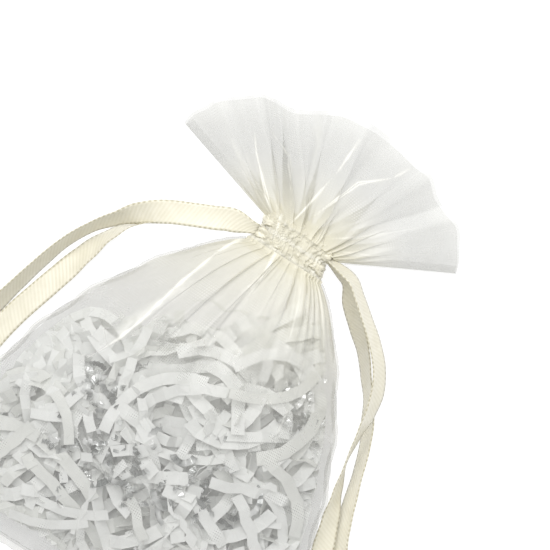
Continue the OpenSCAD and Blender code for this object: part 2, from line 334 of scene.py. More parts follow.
def sewingThread():
    # Two-ply polyester thread: a matte ivory cord with a fine twist, dyed to match the cloth.
    material, tree, shader = newMaterial("sewingThread")
    place = addNode(tree, "ShaderNodeTexCoord").outputs["Object"]
    turned = addNode(tree, "ShaderNodeMapping", inputs={"Vector": place, "Rotation": (0, 0, 0.7)})
    ply = threads(tree, 0, 0.0005, turned.outputs[0])
    # painted shade: the grooves between the plies are drawn darker in the colour, besides the bump
    color = addNode(tree, "ShaderNodeMix", {"data_type": "RGBA"},
                    {0: ply, 6: linear("#C2BEAB"), 7: linear("#D6D2BF")})
    tree.links.new(color.outputs[2], shader.inputs["Base Color"])
    bump = addNode(tree, "ShaderNodeBump", inputs={"Height": ply, "Strength": 0.4, "Distance": 0.0001})
    tree.links.new(bump.outputs[0], shader.inputs["Normal"])
    shader.inputs["Roughness"].default_value = 0.6
    return material


panelCloth = organza("organzaPanel", "#ABABA8", 0.38, 0.20, 0.06)
headerCloth = organza("organzaHeader", "#B6B6B1", 0.40, 0.16, 0.08)
seamCloth = organza("organzaSeam", "#B4B4B0", 0.24, 0.05, 0.10)
ribbonCloth = satin()
frontPaper = crinklePaper("crinklePaper", "#F6F7F5", "#E6E7E3")
# the same paper drawn darker: painted shade for the strips that lie deeper in the bag
shadedBackPaper = crinklePaper("crinklePaperBackShaded", "#ECEDE9", "#D9DAD4")
filmFoil = silverFilm()
threadCord = sewingThread()
print("materials ready")


# folded and tied are its widths in the neck and in the knot; it opens and closes over those lengths
ribbon = {"width": 6.0, "thick": 0.22, "cup": 0.25, "folded": 3.0, "tied": 3.4, "opens": 7.0,
          "closes": 8.0, "step": 1.0, "across": 8}

# Routes from the neck to the knot, with the ribbon's roll at each point: 0 is face up, 90 on edge
leftFrontRoute = [
    (-9.5, 32.6, 13), (-16.4, 31.1, 13.6), (-20, 29.4, 13.6), (-25, 27.2, 13),
    (-31, 24.4, 11.6), (-36.5, 20.8, 9.8), (-41.5, 16, 8), (-46, 10.5, 6.6), (-49.5, 4, 5.6),
    (-52, -3.5, 5), (-54.2, -11.5, 4.7), (-56.2, -19.5, 4.4), (-58, -28, 4), (-59.3, -37, 3.4),
    (-59.6, -46, 3), (-59.2, -55, 2.9), (-58, -63, 3), (-56.6, -71.2, 3.4)]
leftFrontRoll = [30, 6, 0, -4, -2, 26, 58, 68, 68, 64, 60, 52, 36, 14, 2, 0, 6, 16]
leftBackRoute = [
    (-9.5, 32.6, 9), (-16.4, 30, 8.9), (-20, 27.6, 9), (-25, 25, 8.7), (-31, 21.8, 7.8),
    (-36.3, 17.6, 6.4), (-40.4, 12, 5), (-43.4, 5, 3.9), (-45.8, -2.5, 3.3), (-48.2, -10, 2.9),
    (-50.6, -18, 2.6), (-52.3, -26.5, 2.3), (-53, -35.5, 1.8), (-53.2, -45, 1.4),
    (-53.4, -54, 1.2), (-54, -62.5, 1.2), (-55.2, -71.2, 2.4)]
leftBackRoll = [-40, -70, -80, -84, -84, -82, -62, -36, -14, -4, 0, 0, 0, 0, 0, 0, -12]
rightFrontRoute = [
    (9.5, 35.6, 13), (16.6, 34.4, 15), (20.4, 31.7, 15), (25, 28, 14.2), (30, 23.8, 13),
    (34.4, 19, 11.9), (37.3, 13.4, 11), (38.6, 7.5, 10), (39.2, 1, 8.4), (40.2, -6, 6.8),
    (42.2, -13, 5.6), (44.6, -20, 4.8), (47, -27.5, 4.2), (49.8, -36, 3.7), (52, -45, 3.2),
    (53.2, -54, 3), (54, -62.5, 3.1), (55.2, -71.2, 3.4)]
rightFrontRoll = [60, 64, 64, 62, 58, 56, 54, 62, 76, 84, 66, 40, 20, 6, 0, 0, 4, 16]
rightBackRoute = [
    (9.5, 35.6, 9), (16.6, 33.8, 6.6), (20, 29.2, 6.4), (25, 24.6, 6), (29.6, 20.2, 5.2),
    (33.4, 15.4, 4.2), (36.8, 11, 3.4), (39.9, 5.8, 3.1), (42.6, 0, 3), (44.8, -7, 2.9),
    (46.8, -14, 2.7), (48.8, -21, 2.4), (52, -29, 2), (55.5, -37, 1.6), (57.8, -46, 1.3),
    (58.2, -55, 1.2), (57.6, -63, 1.2), (56.4, -71.2, 2.4)]
rightBackRoll = [-55, -54, -50, -52, -62, -66, -70, -60, -66, -68, -60, -48, -30, -18, -8, 0, 0, -10]


def bandFrame(line, k, roll):
    ahead = line[min(k + 1, len(line) - 1)] - line[max(k - 1, 0)]
    ahead.normalize()
    side = ahead.cross(Vector((0, 0, 1))).normalized()
    up = side.cross(ahead)
    angle = math.radians(roll)
    across = side * math.cos(angle) + up * math.sin(angle)
    return ahead, across, across.cross(ahead)


def makeBand(name, route, rolls):
    # a satin band along a route, narrow where it leaves the neck and where it is tied
    fine, length = curvePoints(route, ribbon["step"])
    line = [p for _, p in fine]
    across = ribbon["across"]
    points, uvs = [], []
    for k, (place, p) in enumerate(fine):
        walked = length * k / (len(fine) - 1)
        _, side, lift = bandFrame(line, k, between(rolls, place))
        width = ribbon["folded"] + (ribbon["width"] - ribbon["folded"]) * ease(0, ribbon["opens"], walked)
        width = ribbon["tied"] + (width - ribbon["tied"]) * ease(0, ribbon["closes"], length - walked)
        for j in range(across + 1):
            s = 2 * j / across - 1
            cup = ribbon["cup"] * (s * s - 0.4)
            points.append(p + side * (s * width / 2) + lift * cup)
            uvs.append((s * ribbon["width"] / 2, walked))
    piece = newPiece(name, points, gridFaces(len(fine), across + 1), ribbonCloth, uvs)
    applyModifier(piece, "SOLIDIFY", thickness=mm(ribbon["thick"]), offset=0)
    return piece, line, length


def knotCurve(t):
    # overhand knot: an opened trefoil
    a = t * 2 * math.pi
    return Vector((math.sin(a) + 2 * math.sin(2 * a), math.cos(a) - 2 * math.cos(2 * a),
                   -math.sin(3 * a)))


knot = {"size": 1.25, "flat": 1.15, "wide": 2.7, "thick": 1.1, "rings": 96, "sides": 10,
        "centre": (55.8, -73.4, 3.3), "tailWide": 3, "tailGrows": 2.6, "tailStep": 0.8}
# The two cut ends of the left knot, and how far each is cut on the slant
knotTails = [
    (((-55, -74.6, 2.2), (-54.4, -80, 1.2), (-52.8, -86.5, 0.5)), 2.0),
    (((-56.8, -74.6, 2.2), (-58.2, -80, 1.2), (-60.8, -86, 0.5)), -2.0)]


def makeKnot(name, sideSign):
    x, y, z = knot["centre"]
    centre = Vector((sideSign * x, y, z))
    points, faces, uvs = [], [], []
    rings, sides = knot["rings"], knot["sides"]
    line = []
    for k in range(rings):
        q = knotCurve(k / rings)
        line.append(Vector((q.x * knot["size"], q.y * knot["size"], q.z * knot["flat"])) + centre)
    for k in range(rings):
        ahead = (line[(k + 1) % rings] - line[k - 1]).normalized()
        side = ahead.cross(Vector((0, 0, 1))).normalized()
        up = side.cross(ahead)
        for j in range(sides):
            a = 2 * math.pi * j / sides
            points.append(line[k] + side * math.cos(a) * knot["wide"] / 2
                          + up * math.sin(a) * knot["thick"] / 2)
            uvs.append((math.cos(a) * 3, k * 0.5))
    for k in range(rings):
        for j in range(sides):
            a, b = k * sides + j, k * sides + (j + 1) % sides
            c, d = ((k + 1) % rings) * sides + (j + 1) % sides, ((k + 1) % rings) * sides + j
            faces.append((a, d, c, b))
    piece = newPiece(name, points, faces, ribbonCloth, uvs)
    tails = []
    for leftRoute, skew in knotTails:
        route = [(-sideSign * x, y, z) for x, y, z in leftRoute]
        fine, length = curvePoints(route, knot["tailStep"])
        tail = [p for _, p in fine]
        pts, tailUv = [], []
        for i, p in enumerate(tail):
            _, side, lift = bandFrame(tail, i, 0)
            width = knot["tailWide"] + knot["tailGrows"] * ease(0, 5, length * i / len(tail))
            for j in range(7):
                s = j / 3 - 1
                cut = skew * s * (i / (len(tail) - 1)) ** 6 * 0.8
                pts.append(p + side * s * width / 2 + Vector((0, cut, 0)) + lift * 0.15 * s * s)
                tailUv.append((s * 3, i * knot["tailStep"]))
        band = newPiece(name + "_tail", pts, gridFaces(len(tail), 7), ribbonCloth, tailUv)
        applyModifier(band, "SOLIDIFY", thickness=mm(ribbon["thick"]), offset=0)
        tails.append(band)
    bpy.ops.object.select_all(action="DESELECT")
    for tail in tails:
        tail.select_set(True)
    piece.select_set(True)
    bpy.context.view_layer.objects.active = piece
    bpy.ops.object.join()
    return piece


bight = {"inset": 0.6, "reach": 0.86, "step": 0.7}


def makeLoop(name, node, out):
    # the folded ribbon in both channels and the bight that bridges them
    low, high = boxMm(node)
    y = (low[1] + high[1]) / 2
    zTop, zLow = high[2] - bight["inset"], low[2] + bight["inset"]
    radius = (zTop - zLow) / 2
    near, far = -out * (halfNeck + 0.2), out * (halfNeck - 1.2)
    near, far = near * bight["reach"], far * bight["reach"]
    route = [(near + (far - near) * k / 12, y + 0.25 * math.sin(k * 1.3), zTop + 0.3 * math.sin(k * 1.9))
             for k in range(13)]
    for k in range(1, 8):
        a = math.pi * k / 8
        route.append((far + out * 0.5 * radius * math.sin(a), y, neckZ + radius * math.cos(a)))
    route += [(far + (near - far) * k / 12, y + 0.2 * math.sin(k * 1.7), zLow + 0.2 * math.sin(k * 2.1))
              for k in range(13)]
    fine, length = curvePoints(route, bight["step"])
    line = [p for _, p in fine]
    points, uvs = [], []
    for k, p in enumerate(line):
        ahead = (line[min(k + 1, len(line) - 1)] - line[max(k - 1, 0)]).normalized()
        twist = 0.35 * math.sin(0.45 * k) + 0.25 * math.sin(1.1 * k + 1)
        side = Vector((0.5 * math.sin(0.8 * k) * abs(ahead.y), math.cos(twist), math.sin(twist))).normalized()
        lift = side.cross(ahead).normalized()
        crush = 0.78 + 0.22 * math.sin(0.7 * k + 0.5)
        for j in range(9):
            s = j / 4 - 1
            fold = 0.32 * math.cos(3 * math.pi * s / 2 + 0.5) + 0.22 * math.sin(1.3 * k + 2 * s)
            points.append(p + side * s * crush * ribbon["folded"] / 2 + lift * fold)
            uvs.append((s * 3, length * k / len(line)))
    piece = newPiece(name, points, gridFaces(len(line), 9), ribbonCloth, uvs)
    applyModifier(piece, "SOLIDIFY", thickness=mm(ribbon["thick"]), offset=0)
    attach(piece, name.replace("Ribbon", "_drawstring").replace("Loop", ""))
    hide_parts(node)


def makeRibbons(side, sign, frontRoute, frontRoll, backRoute, backRoll):
    tied = makeKnot(side + "RibbonKnot", sign)
    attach(tied, side + "_ribbon")
    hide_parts(side + "_ribbon_knot")
    for part, route, rolls in (("front", frontRoute, frontRoll), ("back", backRoute, backRoll)):
        name = side + "Ribbon" + part.capitalize() + "Strand"
        piece, line, length = makeBand(name, route, rolls)
        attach(piece, side + "_ribbon")
        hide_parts(f"{side}_ribbon_{part}_strand")
    makeLoop(side + "RibbonLoop", side + "_ribbon_loop", -sign)


makeRibbons("left", -1, leftFrontRoute, leftFrontRoll, leftBackRoute, leftBackRoll)
makeRibbons("right", 1, rightFrontRoute, rightFrontRoll, rightBackRoute, rightBackRoll)
print("ribbons laid")


# The pouch's own shape: u runs from the channel down to the bottom seam, s from side to side
shape = {"frontBulge": 15.0, "backBulge": 11.5, "neckRise": 3.9, "fullAt": 78.0, "curve": 0.82,
         "flatHalf": 50.0, "restZ": 0.25}


def halfWidth(u):
    t = max(0, u) / shape["fullAt"]
    return halfNeck + (halfBody - halfNeck) * math.sin(math.pi / 2 * t ** shape["curve"])


def seamHeight(u):
    return neckZ + (bottomZ - neckZ) * clamp(u / bodyLength) ** 2


def frontHeight(u):
    t = clamp(u / bodyLength)
    return (shape["neckRise"] * (1 - t) + 0.3
            + shape["frontBulge"] * max(0, math.sin(math.pi * t ** 0.9)) ** 0.8)


def backHeight(u):
    t = clamp(u / bodyLength)
    return (shape["neckRise"] * (1 - t) + 0.3
            + shape["backBulge"] * max(0, math.sin(math.pi * t ** 0.75)) ** 0.6)


def slack(u, s, front):
    # how far the cloth hangs off its even shape
    across = s * halfWidth(u)
    rough = 1.3 * noise.noise(Vector((across * 0.10, u * 0.06, 3 if front else 9)))
    rough += 0.4 * noise.noise(Vector((across * 0.28, u * 0.2, 5 if front else 8)))
    return rough * (1 - abs(s) ** 6) * ease(0, 20, u)


def broadPleats(u):
    # height of the wide pleats, which fade out down the bag
    return panel["broad"] * (1 - ease(18, 66, u)) * (0.45 + 0.55 * ease(0, 9, u))


def lean(u):
    # the filled bag slumps a little to its left
    return -2.0 * math.sin(math.pi * clamp(u / bodyLength)) * 0.8


def frontSkin(u, s):
    return seamHeight(u) + 0.15 + frontHeight(u) * (1 - abs(s) ** 2.6)


def backSkin(u, s):
    return max(shape["restZ"], seamHeight(u) - 0.15 - backHeight(u) * (1 - abs(s) ** 3))


def clothSeed(front):
    # one seed for each side, so that its pleats match in the panel, the channel and the header
    return 1.3 if front else 4.1


def scallop(u, seed):
    # the side edges hang in soft scallops between the pulls of the seam
    return 0.5 * math.sin(u * 0.42 + seed) * ease(3, 16, u)


def pleat(s, count, seed):
    # uneven pleats across the cloth, from -1 to 1, wider here and tighter there
    warped = s + 0.13 * math.sin(2.7 * s + seed) + 0.05 * math.sin(7.3 * s + 2.1 * seed)
    a = math.pi * count * warped + seed
    size = 0.72 + 0.28 * math.sin(4.1 * s + 1.9 * seed)
    return size * (math.cos(a) + 0.16 * math.cos(3 * a + seed)) / 1.1


def lineDistance(x, y, line):
    # distance to a line of points, and how far along it (0 to 1) the nearest place is
    best, along = 1e9, 0
    for k in range(len(line) - 1):
        (ax, ay), (bx, by) = line[k], line[k + 1]
        dx, dy = bx - ax, by - ay
        t = clamp(((x - ax) * dx + (y - ay) * dy) / (dx * dx + dy * dy))
        d = math.hypot(x - ax - t * dx, y - ay - t * dy)
        if d < best:
            best, along = d, (k + t) / (len(line) - 1)
    return best, along


def creaseAndHighlightAt(x, y, creases):
    # how strongly a place lies on a crease: it thickens the cloth and sets its painted highlight
    total = 0
    for strength, startWidth, endWidth, line in creases:
        low = min(p[1] for p in line) - 3
        high = max(p[1] for p in line) + 3
        if not low < y < high:
            continue
        d, along = lineDistance(x, y, line)
        wander = noise.noise(Vector((x * 0.35, y * 0.35, 2.0)))
        width = 0.9 * (startWidth + (endWidth - startWidth) * along) * (1 + 0.7 * wander)
        ends = ease(0, 0.2, along) * ease(0, 0.2, 1 - along)
        d = abs(d + 0.5 * noise.noise(Vector((x * 0.12, y * 0.12, 6.0))))
        total += strength * math.exp(-(d / width) ** 2) * (0.35 + 0.65 * ends)
    return clamp(0.85 * total)


# how gathered the cloth is near the neck: it thickens the veil and lifts its colour to a lighter cream,
# partly painted light
def gatherAt(u):
    return clamp(1 - (halfWidth(u) - halfNeck) / (halfBody - halfNeck)) ** 1.8


# Creases: strength, width at the start and at the end, and the line they run along. Along them
# the cloth is denser and given a painted highlight; the front panel is also raised there.
frontCreases = [
    (0.95, 0.30, 0.55, [(-9.8, 33), (-15, 23), (-19, 10.5), (-21.5, 0)]),
    (0.80, 0.60, 0.30, [(-21, 1), (-24, -8), (-29, -18)]),
    (0.45, 1.10, 1.60, [(-17, 13), (-21.5, 2), (-26, -9)]),
    (0.75, 0.25, 0.50, [(-3, 31), (-2.5, 26), (-2.4, 22)]),
    (0.70, 0.50, 1.00, [(-2.4, 23.5), (-3.6, 18.5)]),
    (0.40, 0.35, 0.25, [(5, 30), (9, 21), (12, 12)]),
    (0.35, 0.40, 0.30, [(-13, 29), (-22, 21), (-28, 13)]),
    (0.30, 0.30, 0.30, [(8, 31), (15, 24), (20, 16)]),
    (0.35, 0.60, 0.25, [(17, 12), (20, 2), (21, -8)]),
]
backCreases = [
    (0.30, 0.40, 0.30, [(-6, 30), (-13, 19), (-18, 8)]),
    (0.30, 0.40, 0.30, [(4, 30), (7, 20), (9, 9)]),
    (0.25, 0.40, 0.30, [(10, 28), (18, 18), (24, 9)]),
]
panel = {"rows": 220, "cols": 230, "pleats": 6, "gathers": 15, "broad": 0.95, "fine": 0.75, "lean": 1.0}


def makePanel(name, node, front):
    rows, cols = panel["rows"], panel["cols"]
    seed = clothSeed(front)
    side = 1 if front else -1
    points, uvs, gathers, marks = [], [], [], []
    low = boxMm(node)[0][1]
    lowest = shape["restZ"] + (0.4 if front else 0.0)
    for i in range(rows):
        u = -1.0 + (bodyTop - low + 1.0) * i / (rows - 1)
        half = halfWidth(u)
        broad = broadPleats(u)
        fine = panel["fine"] * (1 - ease(2, 21, u))
        for j in range(cols):
            s = 2 * j / (cols - 1) - 1
            inside = 1 - abs(s) ** 6
            wave = broad * pleat(s, panel["pleats"], seed) + fine * pleat(s, panel["gathers"], seed + 2)
            lift = wave * inside
            z = frontSkin(u, s) if front else backSkin(u, s)
            z += lift + side * slack(u, s, front)
            x = half * s + lean(u) + lift * panel["lean"] * (1 - ease(8, 58, u))
            mark = creaseAndHighlightAt(x, bodyTop - u, frontCreases if front else backCreases)
            if front:
                z += 0.5 * mark * inside
            x += s * abs(s) ** 8 * scallop(u, seed)
            points.append((x, bodyTop - u, max(lowest, z)))
            uvs.append((s * shape["flatHalf"], u))
            # gather sets the lighter tint, partly painted light; the crease mark sets the painted highlight
            gathers.append(gatherAt(u))
            marks.append(mark)
    faces = gridFaces(rows, cols)
    if front:
        faces = [f[::-1] for f in faces]
    piece = newPiece(name, points, faces, panelCloth, uvs)
    setAttribute(piece, "gather", gathers)
    setAttribute(piece, "creaseAndHighlight", marks)
    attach(piece, "pouch")
    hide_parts(node)


# The filling: crimped strips kept between the two skins
shred = {"front": 330, "back": 230, "film": 120, "slope": 0.55, "edge": 8.0, "gap": 6.5,
         "sideGap": 2.6, "highest": 26, "deepest": 1.8, "step": 0.12}
# Strips: width, thickness, length of a link, most links and angle of a fold
frontStrip = (3.2, 0.12, 3.5, 12, 0.27)
backStrip = (3.2, 0.12, 3.9, 11, 0.34)
filmStrip = (1.5, 0.05, 0.9, 14, 1.05)
# Where the film lies in bunches: x, y and spread
filmSpots = ((-24, -22, 4), (-17, -33, 6), (23, -2, 3), (12, -32, 5), (-20, -38, 4), (-4, -36, 4))


def skinAt(x, y):
    # lowest and highest place clear of both cloths
    u = bodyTop - y
    s = clamp((x - lean(u)) / halfWidth(u), -1, 1)
    low = max(shape["restZ"], backSkin(u, s) - slack(u, s, False)) + broadPleats(u)
    return low, frontSkin(u, s) + slack(u, s, True) - broadPleats(u)


def fillTop(x):
    # the filling's upper edge: it has slid to one side of the bag
    return shred["edge"] + shred["slope"] * clamp(x, -40, 22)


def addStrip(points, faces, start, heading, lift, rng, size):
    # a crimped strip: thin box links folded to and fro, the whole of it kept inside the bag
    width, thick, link, links, fold = size
    side = heading.cross(lift).normalized()
    turn = rng.uniform(-0.28, 0.28)
    curl = rng.uniform(-0.10, 0.10)
    p = start.copy()
    rings = []
    sign = 1
    for k in range(links + 1):
        rings.append([p + side * (a * width / 2) + lift * (b * thick / 2)
                      for a, b in ((-1, -1), (1, -1), (1, 1), (-1, 1))])
        ahead = heading * math.cos(fold) + lift * (math.sin(fold) * sign)
        p = p + ahead * link * rng.uniform(0.8, 1.2)
        sign = -sign
        heading.rotate(Quaternion(lift, turn))
        side.rotate(Quaternion(lift, turn))
        heading.rotate(Quaternion(side, curl))
        lift.rotate(Quaternion(side, curl))
    # the whole strip slides down the bag until it is under its own limit
    limit = rng.gauss(1.5, 3.0)
    slide = max(0, max(q.y - fillTop(q.x) - limit for ring in rings for q in ring))
    slide -= max(0, max(bodyEnd + shred["gap"] - q.y + slide for ring in rings for q in ring))
    # then it is pushed in from the side seam that it crosses
    spareLeft = spareRight = 0
    for ring in rings:
        for q in ring:
            q.y = clamp(q.y - slide, bodyEnd + shred["gap"], shred["highest"])
            u = bodyTop - q.y
            half = halfWidth(u) - shred["sideGap"]
            spareLeft = max(spareLeft, lean(u) - half - q.x)
            spareRight = max(spareRight, q.x - lean(u) - half)
    # strips lie under each other, not all against the cloth
    depth = rng.uniform(0, shred["deepest"])
    over = under = 0
    for ring in rings:
        for q in ring:
            u = bodyTop - q.y
            half = halfWidth(u) - shred["sideGap"]
            q.x = clamp(q.x + spareLeft - spareRight, lean(u) - half, lean(u) + half)
            low, high = skinAt(q.x, q.y)
            over = max(over, q.z - high + 0.7)
            under = max(under, low + 0.5 - q.z)
    base = len(points)
    for k, ring in enumerate(rings):
        for n, q in enumerate(ring):
            low, high = skinAt(q.x, q.y)
            q.z += under - over
            # the strip's upper corners stay above its lower ones
            step = shred["step"] if n > 1 else 0
            top = high - 0.75 - depth * clamp((high - low) / 8) + step
            q.z = min(q.z, top) if q.z > low + 0.4 else low + 0.4 + step
            points.append(q)
        if k:
            a = base + 4 * (k - 1)
            for j in range(4):
                faces.append((a + j, a + (j + 1) % 4, a + 4 + (j + 1) % 4, a + 4 + j))
    faces.append((base + 3, base + 2, base + 1, base))
    end = base + 4 * links
    faces.append((end, end + 1, end + 2, end + 3))


def makeShred(name, node, material, count, seed, layer, size, spots=None):
    # layer is the share of the way from the back cloth to the front one
    rng = random.Random(seed)
    points, faces = [], []
    made = 0
    while made < count:
        if spots:
            cx, cy, spread = spots[made % len(spots)]
            x, y = rng.gauss(cx, spread), rng.gauss(cy, spread)
        else:
            x, y = rng.uniform(-46, 46), rng.uniform(bodyEnd + 5, 24)
        u = bodyTop - y
        if u < 6 or u > bodyLength - 5 or abs(x) > halfWidth(u) - 3 or y > fillTop(x):
            continue
        low, high = skinAt(x, y)
        share = rng.uniform(*layer)
        z = low + (high - low) * share
        turn = rng.uniform(0, 2 * math.pi)
        tip = rng.gauss(0, 0.22)
        heading = Vector((math.cos(turn) * math.cos(tip), math.sin(turn) * math.cos(tip), math.sin(tip)))
        lift = Vector((rng.gauss(0, 0.35), rng.gauss(0, 0.35), 1))
        if rng.random() < 0.16:
            lift = Vector((rng.gauss(0, 1), rng.gauss(0, 1), 0.3))
        lift = (lift - heading * lift.dot(heading)).normalized()
        width, thick, link, links, fold = size
        addStrip(points, faces, Vector((x, y, z)), heading, lift, rng,
                 (width * rng.uniform(0.75, 1.15), thick, link * rng.uniform(0.8, 1.2),
                  rng.randint(links - 5, links), fold * rng.uniform(0.3, 1.8)))
        made += 1
    piece = newPiece(name, points, faces, material, smooth=False)
    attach(piece, "pouch")
    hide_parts(node)


makeShred("paperShredFront", "front_paper_shred", frontPaper, shred["front"], 11, (0.45, 0.96),
          frontStrip)
makeShred("paperShredBack", "back_paper_shred", shadedBackPaper, shred["back"], 23, (0.05, 0.5),
          backStrip)
makeShred("filmShred", "film_shred", filmFoil, shred["film"], 37, (0.8, 1.0), filmStrip,
          spots=filmSpots)
print("filling packed")

makePanel("backPanelCloth", "back_panel", False)
makePanel("frontPanelCloth", "front_panel", True)
print("panels sewn")


seam = {"wide": 1.3, "thick": 0.2, "step": 1.2, "sideParts": 48}


def makeWelt(name, node, route, body, wide, thick, material):
    # a narrow folded seam, an oval strip swept along its line
    fine, length = curvePoints(route, seam["step"])
    line = [p for _, p in fine]
    points, uvs, faces = [], [], []
    for k, p in enumerate(line):
        _, side, lift = bandFrame(line, k, 0)
        pucker = 1 + 0.12 * math.sin(k * 2.1)
        for j in range(8):
            a = math.pi / 4 * j
            points.append(p + side * math.cos(a) * wide / 2 * pucker + lift * math.sin(a) * thick / 2)
            uvs.append((math.cos(a) * wide / 2, length * k / len(line)))
    count = len(line)
    for k in range(count - 1):
        for j in range(8):
            a, b = k * 8 + j, k * 8 + (j + 1) % 8
            faces.append((a, b, b + 8, a + 8))
    faces.append(tuple(range(7, -1, -1)))
    faces.append(tuple((count - 1) * 8 + j for j in range(8)))
    piece = newPiece(name, points, faces, material, uvs)
    # a faint lighter gather tint, partly painted light, and no painted crease highlight
    setAttribute(piece, "gather", [0.1] * len(points))
    setAttribute(piece, "creaseAndHighlight", [0.0] * len(points))
    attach(piece, body)
    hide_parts(node)


def sideRoute(sign):
    route = []
    for k in range(seam["sideParts"] + 1):
        u = bodyLength * k / seam["sideParts"]
        x = sign * (halfWidth(u) - 0.1 + scallop(u, clothSeed(True))) + lean(u)
        route.append((x, bodyTop - u, seamHeight(u)))
    return route


for side, sign in (("left", -1), ("right", 1)):
    makeWelt(side + "SideSeam", side + "_side_seam", sideRoute(sign), "pouch",
             seam["wide"], seam["thick"], seamCloth)
bottomHalf = halfWidth(bodyLength)
makeWelt("bottomSeam", "bottom_seam",
         [(-bottomHalf + 2 * bottomHalf * k / 12, bodyEnd + 0.9, bottomZ) for k in range(13)],
         "pouch", seam["wide"] + 1, seam["thick"], seamCloth)
print("seams closed")


casing = {"rows": 70, "cols": 260, "above": 2.4, "spare": 4.6, "rise": 3.3, "stitchRow": 2.6}


def makeCasing(name, node, front):
    # the channel cloth drawn up into tight uneven gathers
    rows, cols = casing["rows"], casing["cols"]
    low, high = boxMm(node)
    points, uvs, gathers, marks = [], [], [], []
    sign = 1 if front else -1
    seed = clothSeed(front)
    for i in range(rows):
        v = i / (rows - 1)
        y = high[1] + casing["above"] - (high[1] - low[1] + casing["spare"]) * v
        pinch = math.exp(-((y - neckY) / 3.2) ** 2)
        soft = 0.62 - 0.3 * ease(2.5, 6.5, abs(y - neckY))
        dive = 1 - 0.75 * ease(3.2, 6.6, abs(y - neckY))
        for j in range(cols):
            s = 2 * j / (cols - 1) - 1
            dome = (1 - abs(s) ** 3.0) ** 0.7 if abs(s) < 1 else 0
            shift = 0.12 * math.sin(0.6 * y + 3 * s) + 0.05 * math.sin(1.7 * y + 9 * s)
            wave = 0.55 * pleat(s + 0.5 * shift, 15, seed + 2) + 0.30 * pleat(s - shift, 23, seed + 0.7)
            wave += 0.45 * noise.noise(Vector((s * 7, y * 0.25, seed)))
            row = sum(math.exp(-((y - neckY - r * casing["stitchRow"]) / 0.5) ** 2) for r in (-1, 1))
            wave *= soft
            raised = casing["rise"] - 0.2 * row - 0.2 * pinch
            z = neckZ + sign * (0.25 + raised * dome * dive) + wave * dome * 0.8
            x = s * (halfNeck - 1.6 + 1.5 * abs(y - neckY) / 5) + wave * 0.8
            points.append((x, y + 0.25 * math.sin(9 * s + seed), z))
            uvs.append((s * shape["flatHalf"], y))
            # the lighter gather tint, partly painted light, and noise patches of painted crease highlight
            gathers.append(0.95)
            marks.append(clamp(0.9 * max(0, noise.noise(Vector((s * 13, y * 0.3, 2 * seed))) - 0.3)))
    faces = gridFaces(rows, cols)
    if front:
        faces = [f[::-1] for f in faces]
    piece = newPiece(name, points, faces, panelCloth, uvs)
    setAttribute(piece, "gather", gathers)
    setAttribute(piece, "creaseAndHighlight", marks)
    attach(piece, "pouch")
    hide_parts(node)


stitch = {"radius": 0.13, "stretch": 4.0, "pitch": 2.4, "rowOff": 2.4, "sunk": 0.75}


def makeStitches(name, node, front):
    # one running stitch, made once and copied along both rows
    low, high = boxMm(node)
    sign = 1 if front else -1
    top = (high[2] + low[2]) / 2
    bpy.ops.object.select_all(action="DESELECT")
    bpy.ops.mesh.primitive_uv_sphere_add(segments=10, ring_count=6, radius=mm(stitch["radius"]))
    first = bpy.context.object
    for v in first.data.vertices:
        v.co.x *= stitch["stretch"]
    copies = []
    for row in (-1, 1):
        for k in range(-4, 5):
            x = k * stitch["pitch"]
            s = x / halfNeck
            made = first.copy()
            made.data = first.data.copy()
            bpy.context.scene.collection.objects.link(made)
            drop = 1.4 * abs(s) ** 3
            for v in made.data.vertices:
                v.co.x += mm(x)
                v.co.y += mm(neckY + row * stitch["rowOff"] + 0.15 * math.sin(k * 2.0))
                v.co.z += mm(top - sign * (stitch["sunk"] + drop + 0.25 * math.sin(k * 3.1 + row)))
            copies.append(made)
    bpy.data.objects.remove(first)
    bpy.ops.object.select_all(action="DESELECT")
    for made in copies:
        made.select_set(True)
    bpy.context.view_layer.objects.active = copies[0]
    bpy.ops.object.join()
    piece = bpy.context.object
    piece.name = name
    piece.data.materials.clear()
    piece.data.materials.append(threadCord)
    pick(piece)
    bpy.ops.object.shade_smooth()
    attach(piece, "pouch")
    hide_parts(node)


makeCasing("frontCasingGathers", "front_casing", True)
makeCasing("backCasingGathers", "back_casing", False)
makeStitches("frontCasingThread", "front_casing_stitches", True)
makeStitches("backCasingThread", "back_casing_stitches", False)
print("channel gathered")


# The header's outer edge from left to right
headerRim = [(-39.5, 45.5), (-39, 48.5), (-37, 51.5), (-35.5, 54.5), (-32.5, 57), (-29, 59.5),
             (-26.5, 61.5), (-23, 62.2), (-18, 62.5), (-14, 64.5), (-10, 67), (-6.5, 68.7), (-2, 69.3),
             (3, 69.5), (9, 68.8), (15, 67.4), (20, 66.5), (24, 63), (28, 61), (32.5, 59.3),
             (35.5, 55), (37.3, 52), (38.2, 49.5)]
# Header creases, in the same columns: the cloth is denser along them and gets a painted highlight, faint on
# the back
headerCreases = [
    (0.95, 0.28, 0.22, [(-23, 52.5), (-20, 48.5), (-13.5, 42), (-9, 38)]),
    (0.55, 0.25, 0.22, [(-20, 55), (-12.5, 52), (-5.7, 42)]),
    (0.95, 0.45, 0.22, [(0, 64.5), (-0.3, 56), (-2.6, 42), (-3.5, 38)]),
    (0.90, 0.40, 0.25, [(14.3, 65), (12, 61), (5.5, 55.5), (0.6, 43)]),
    (0.40, 0.25, 0.20, [(-18.5, 39), (-12.5, 37)]),
    (0.30, 0.30, 0.25, [(24, 54), (14, 45), (6, 39.5)]),
    (0.25, 0.30, 0.25, [(30, 50), (18, 42), (9, 38)]),
    (0.30, 0.50, 0.25, [(-30, 50), (-18, 42), (-9, 37.5)]),
    (0.35, 0.70, 0.90, [(-12, 64), (-8, 58), (-6, 52)]),
]
